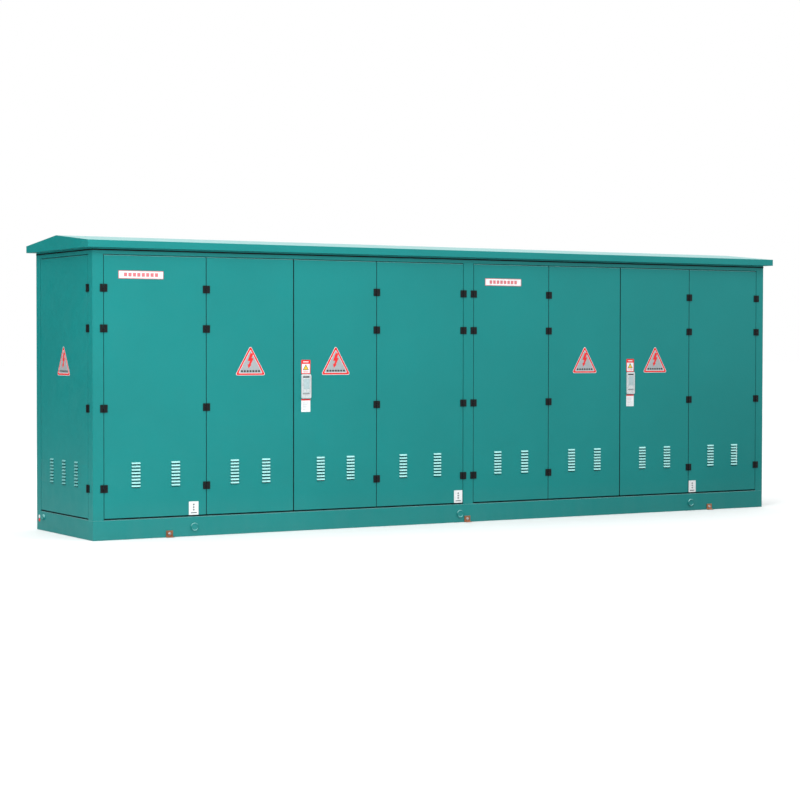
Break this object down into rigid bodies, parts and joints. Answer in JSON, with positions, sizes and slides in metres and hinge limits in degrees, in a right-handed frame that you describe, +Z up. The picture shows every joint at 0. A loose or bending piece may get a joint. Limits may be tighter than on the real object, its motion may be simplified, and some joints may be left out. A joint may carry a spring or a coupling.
{
  "type": "outdoor switchgear enclosure",
  "caption": "Long low pad-mounted medium-voltage switching station: sheet-steel enclosure on a plinth, folding front doors, end doors, low gable roof, gas-insulated gear inside.",
  "frame": {"origin": "centre of the overall bounding box at ground level, which is the plinth's underside", "axes": "+X runs along the front from left to right as the front is faced, +Y runs from the front to the rear, +Z is up"},
  "size_m": [6.72, 1.298, 2.335],
  "materials": {
    "teal_paint": "satin teal-green powder coat",
    "black_zinc": "satin black coated die-cast zinc",
    "bright_zinc": "satin bright plated zinc",
    "galvanised": "galvanised steel sheet",
    "copper": "bare copper, slightly dulled",
    "stainless": "rolled stainless steel sheet",
    "switchgear_grey": "light grey powder coat"
  },
  "bodies": {
    "enclosure": {"cable_box_left": "switchgear_grey", "cable_box_right": "switchgear_grey", "control_box_left": "switchgear_grey", "control_box_right": "switchgear_grey", "door_frame_left": "teal_paint", "door_frame_right": "teal_paint", "drive_box_left": "switchgear_grey", "drive_box_right": "switchgear_grey", "earth_bar": "copper", "earth_lug_left": "copper", "earth_lug_middle": "copper", "earth_lug_right": "copper", "enclosure_frame": "teal_paint", "end_door_frame_left": "teal_paint", "end_door_frame_right": "teal_paint", "gas_tank_left": "stainless", "gas_tank_right": "stainless", "gland_plate_left": "galvanised", "gland_plate_right": "galvanised", "lifting_shaft_left": "teal_paint", "lifting_shaft_middle": "teal_paint", "lifting_shaft_right": "teal_paint", "plinth": "teal_paint", "rear_panel_left": "teal_paint", "rear_panel_right": "teal_paint", "roof": "teal_paint", "tank_stand_left": "switchgear_grey", "tank_stand_right": "switchgear_grey"},
    "door_1": {"door_1": "teal_paint", "door_1_hinges": "black_zinc"},
    "door_2": {"door_2": "teal_paint", "door_2_hinges": "black_zinc"},
    "door_3": {"door_3": "teal_paint", "door_3_hinges": "black_zinc", "lock_plate_left": "bright_zinc"},
    "door_4": {"door_4": "teal_paint", "door_4_hinges": "black_zinc"},
    "lock_paddle_left": {"lock_paddle_left": "bright_zinc"},
    "key_barrel_left": {"key_barrel_left": "bright_zinc"},
    "bolt_rod_upper_left": {"bolt_rod_upper_left": "galvanised"},
    "bolt_rod_lower_left": {"bolt_rod_lower_left": "galvanised"},
    "cable_cover_left": {"cable_cover_left": "switchgear_grey"},
    "door_5": {"door_5": "teal_paint", "door_5_hinges": "black_zinc"},
    "door_6": {"door_6": "teal_paint", "door_6_hinges": "black_zinc"},
    "door_7": {"door_7": "teal_paint", "door_7_hinges": "black_zinc", "lock_plate_right": "bright_zinc"},
    "door_8": {"door_8": "teal_paint", "door_8_hinges": "black_zinc"},
    "lock_paddle_right": {"lock_paddle_right": "bright_zinc"},
    "key_barrel_right": {"key_barrel_right": "bright_zinc"},
    "bolt_rod_upper_right": {"bolt_rod_upper_right": "galvanised"},
    "bolt_rod_lower_right": {"bolt_rod_lower_right": "galvanised"},
    "cable_cover_right": {"cable_cover_right": "switchgear_grey"},
    "end_door_left": {"end_door_left": "teal_paint", "end_door_left_hinges": "black_zinc"},
    "end_door_right": {"end_door_right": "teal_paint", "end_door_right_hinges": "black_zinc"}
  },
  "joints": [
    {"name": "door_1_hinge", "type": "hinge", "parent": "enclosure", "child": "door_1", "pos_m": [-3.21, -0.593, 1.16], "axis": [0, 0, 1], "range_deg": [-90, 0]},
    {"name": "door_2_hinge", "type": "hinge", "parent": "door_1", "child": "door_2", "pos_m": [-2.353, -0.593, 1.16], "axis": [0, 0, 1], "range_deg": [-170, 0]},
    {"name": "door_4_hinge", "type": "hinge", "parent": "enclosure", "child": "door_4", "pos_m": [0.023, -0.593, 1.16], "axis": [0, 0, 1], "range_deg": [0, 90]},
    {"name": "door_3_hinge", "type": "hinge", "parent": "door_4", "child": "door_3", "pos_m": [-0.818, -0.593, 1.16], "axis": [0, 0, 1], "range_deg": [0, 170]},
    {"name": "lock_paddle_left_lift", "type": "hinge", "parent": "door_3", "child": "lock_paddle_left", "pos_m": [-1.475, -0.5968, 1.221], "axis": [1, 0, 0], "range_deg": [-60, 0]},
    {"name": "key_barrel_left_turn", "type": "hinge", "parent": "door_3", "child": "key_barrel_left", "pos_m": [-1.475, -0.5993, 1.074], "axis": [0, 1, 0], "range_deg": [-90, 0]},
    {"name": "bolt_rod_upper_left_slide", "type": "slide", "parent": "door_3", "child": "bolt_rod_upper_left", "axis": [0, 0, 1], "range_m": [-0.02, 0]},
    {"name": "bolt_rod_lower_left_slide", "type": "slide", "parent": "door_3", "child": "bolt_rod_lower_left", "axis": [0, 0, 1], "range_m": [0, 0.02]},
    {"name": "cable_cover_left_lift", "type": "slide", "parent": "enclosure", "child": "cable_cover_left", "axis": [0, 0, 1], "range_m": [0, 0.03]},
    {"name": "door_5_hinge", "type": "hinge", "parent": "enclosure", "child": "door_5", "pos_m": [0.125, -0.593, 1.16], "axis": [0, 0, 1], "range_deg": [-90, 0]},
    {"name": "door_6_hinge", "type": "hinge", "parent": "door_5", "child": "door_6", "pos_m": [0.895, -0.593, 1.16], "axis": [0, 0, 1], "range_deg": [-170, 0]},
    {"name": "door_8_hinge", "type": "hinge", "parent": "enclosure", "child": "door_8", "pos_m": [3.217, -0.593, 1.16], "axis": [0, 0, 1], "range_deg": [0, 90]},
    {"name": "door_7_hinge", "type": "hinge", "parent": "door_8", "child": "door_7", "pos_m": [2.434, -0.593, 1.16], "axis": [0, 0, 1], "range_deg": [0, 170]},
    {"name": "lock_paddle_right_lift", "type": "hinge", "parent": "door_7", "child": "lock_paddle_right", "pos_m": [1.773, -0.5968, 1.221], "axis": [1, 0, 0], "range_deg": [-60, 0]},
    {"name": "key_barrel_right_turn", "type": "hinge", "parent": "door_7", "child": "key_barrel_right", "pos_m": [1.773, -0.5993, 1.074], "axis": [0, 1, 0], "range_deg": [-90, 0]},
    {"name": "bolt_rod_upper_right_slide", "type": "slide", "parent": "door_7", "child": "bolt_rod_upper_right", "axis": [0, 0, 1], "range_m": [-0.02, 0]},
    {"name": "bolt_rod_lower_right_slide", "type": "slide", "parent": "door_7", "child": "bolt_rod_lower_right", "axis": [0, 0, 1], "range_m": [0, 0.02]},
    {"name": "cable_cover_right_lift", "type": "slide", "parent": "enclosure", "child": "cable_cover_right", "axis": [0, 0, 1], "range_m": [0, 0.03]},
    {"name": "end_door_left_hinge", "type": "hinge", "parent": "enclosure", "child": "end_door_left", "pos_m": [-3.308, -0.492, 1.16], "axis": [0, 0, 1], "range_deg": [0, 110]},
    {"name": "end_door_right_hinge", "type": "hinge", "parent": "enclosure", "child": "end_door_right", "pos_m": [3.308, -0.492, 1.16], "axis": [0, 0, 1], "range_deg": [-110, 0]}
  ],
  "couplings": [
    {"joint": "bolt_rod_upper_left_slide", "follows": "lock_paddle_left_lift", "m_per_rad": 0.019},
    {"joint": "bolt_rod_lower_left_slide", "follows": "lock_paddle_left_lift", "m_per_rad": -0.019},
    {"joint": "bolt_rod_upper_right_slide", "follows": "lock_paddle_right_lift", "m_per_rad": 0.019},
    {"joint": "bolt_rod_lower_right_slide", "follows": "lock_paddle_right_lift", "m_per_rad": -0.019}
  ]
}
